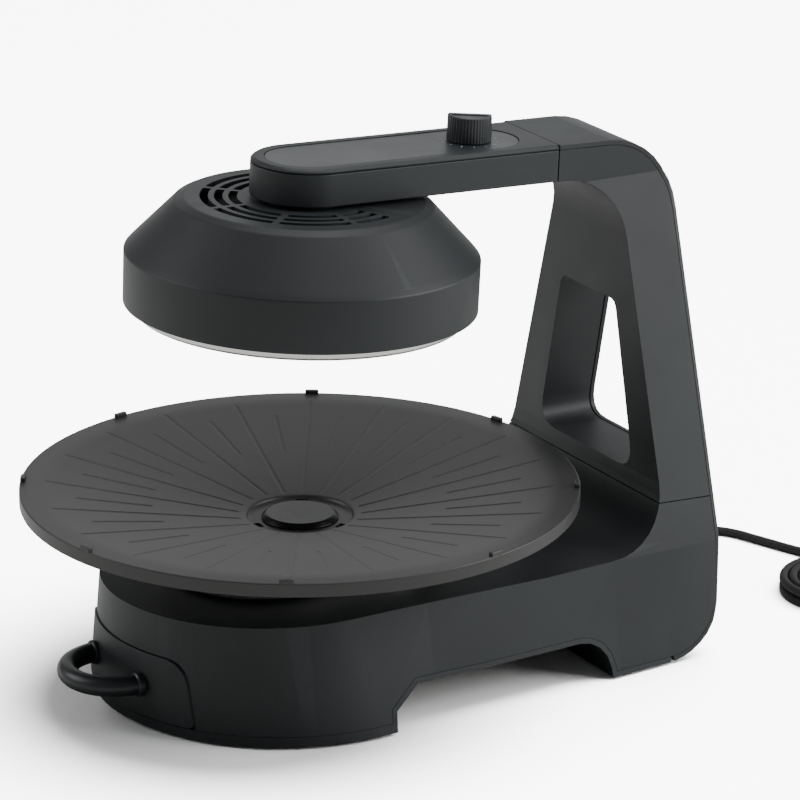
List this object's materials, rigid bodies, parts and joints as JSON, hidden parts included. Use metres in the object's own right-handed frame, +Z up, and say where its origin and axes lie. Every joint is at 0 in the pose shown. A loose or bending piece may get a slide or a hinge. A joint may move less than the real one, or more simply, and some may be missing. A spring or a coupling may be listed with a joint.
{
  "type": "infrared table grill",
  "caption": "Table grill with a ring-shaped infrared heater head on a column and arm, held over a round rotating plate with radial grooves, a grease drawer and a timer knob.",
  "frame": {"origin": "middle of the footprint on the table, without the mains cord", "axes": "+Z up, -Y towards the grease drawer, +Y towards the column, +X to the right seen from the drawer"},
  "size_m": [0.36, 0.6273, 0.359],
  "materials": {
    "casing": "moulded matte charcoal ABS with a fine spark-eroded texture",
    "inlay": "satin black polycarbonate",
    "plate_coating": "die-cast aluminium with a black speckled non-stick coating",
    "rubber": "black rubber and PVC",
    "stainless": "pressed stainless steel, bright",
    "zinc_plate": "bright zinc plated steel",
    "insulator": "cream ceramic and phenolic insulator",
    "heater": "ruby quartz tube",
    "brass": "polished brass"
  },
  "bodies": {
    "root": {"base_shell": "casing", "base_pan": "casing", "column_shell": "casing", "back_cover": "casing", "arm_lower_shell": "casing", "arm_top_cover": "casing", "head_neck": "casing", "head_shell": "casing", "control_inlay": "inlay", "foot_1": "rubber", "foot_2": "rubber", "foot_3": "rubber", "foot_4": "rubber", "strain_relief": "rubber", "cord_tube": "rubber", "cord_lead": "rubber", "cord_coil": "rubber", "plug_body": "rubber", "drip_bowl": "stainless", "reflector": "stainless", "head_ring": "stainless", "pan_screw_1": "zinc_plate", "pan_screw_2": "zinc_plate", "pan_screw_3": "zinc_plate", "pan_screw_4": "zinc_plate", "column_bracket": "zinc_plate", "motor": "zinc_plate", "motor_screw_1": "zinc_plate", "motor_screw_2": "zinc_plate", "arm_bracket": "zinc_plate", "heat_shield": "zinc_plate", "heater_guard": "zinc_plate", "terminal_block": "insulator", "timer_body": "insulator", "heater_cap_1": "insulator", "heater_cap_2": "insulator", "heater_tube": "heater", "plug_blade_1": "brass", "plug_blade_2": "brass"},
    "turntable": {"spindle": "zinc_plate", "drive_hub": "casing"},
    "plate": {"grill_plate": "plate_coating", "plate_cap": "inlay"},
    "drawer": {"drawer_front": "casing", "drawer_tray": "casing", "drawer_handle": "casing", "handle_screw_1": "zinc_plate", "handle_screw_2": "zinc_plate"},
    "knob": {"knob": "inlay", "knob_shaft": "zinc_plate"}
  },
  "joints": [
    {"name": "turntable_spin", "type": "hinge", "parent": "root", "child": "turntable", "pos_m": [0, -0.03875, 0.09], "axis": [0, 0, 1], "continuous": true},
    {"name": "plate_lift", "type": "slide", "parent": "turntable", "child": "plate", "axis": [0, 0, 1], "range_m": [0, 0.08]},
    {"name": "drawer_slide", "type": "slide", "parent": "root", "child": "drawer", "axis": [0, -1, 0], "range_m": [0, 0.115]},
    {"name": "timer_turn", "type": "hinge", "parent": "root", "child": "knob", "pos_m": [0, 0.08542, 0.34207], "axis": [0, 0.0436, 0.999], "range_deg": [0, 300]}
  ]
}
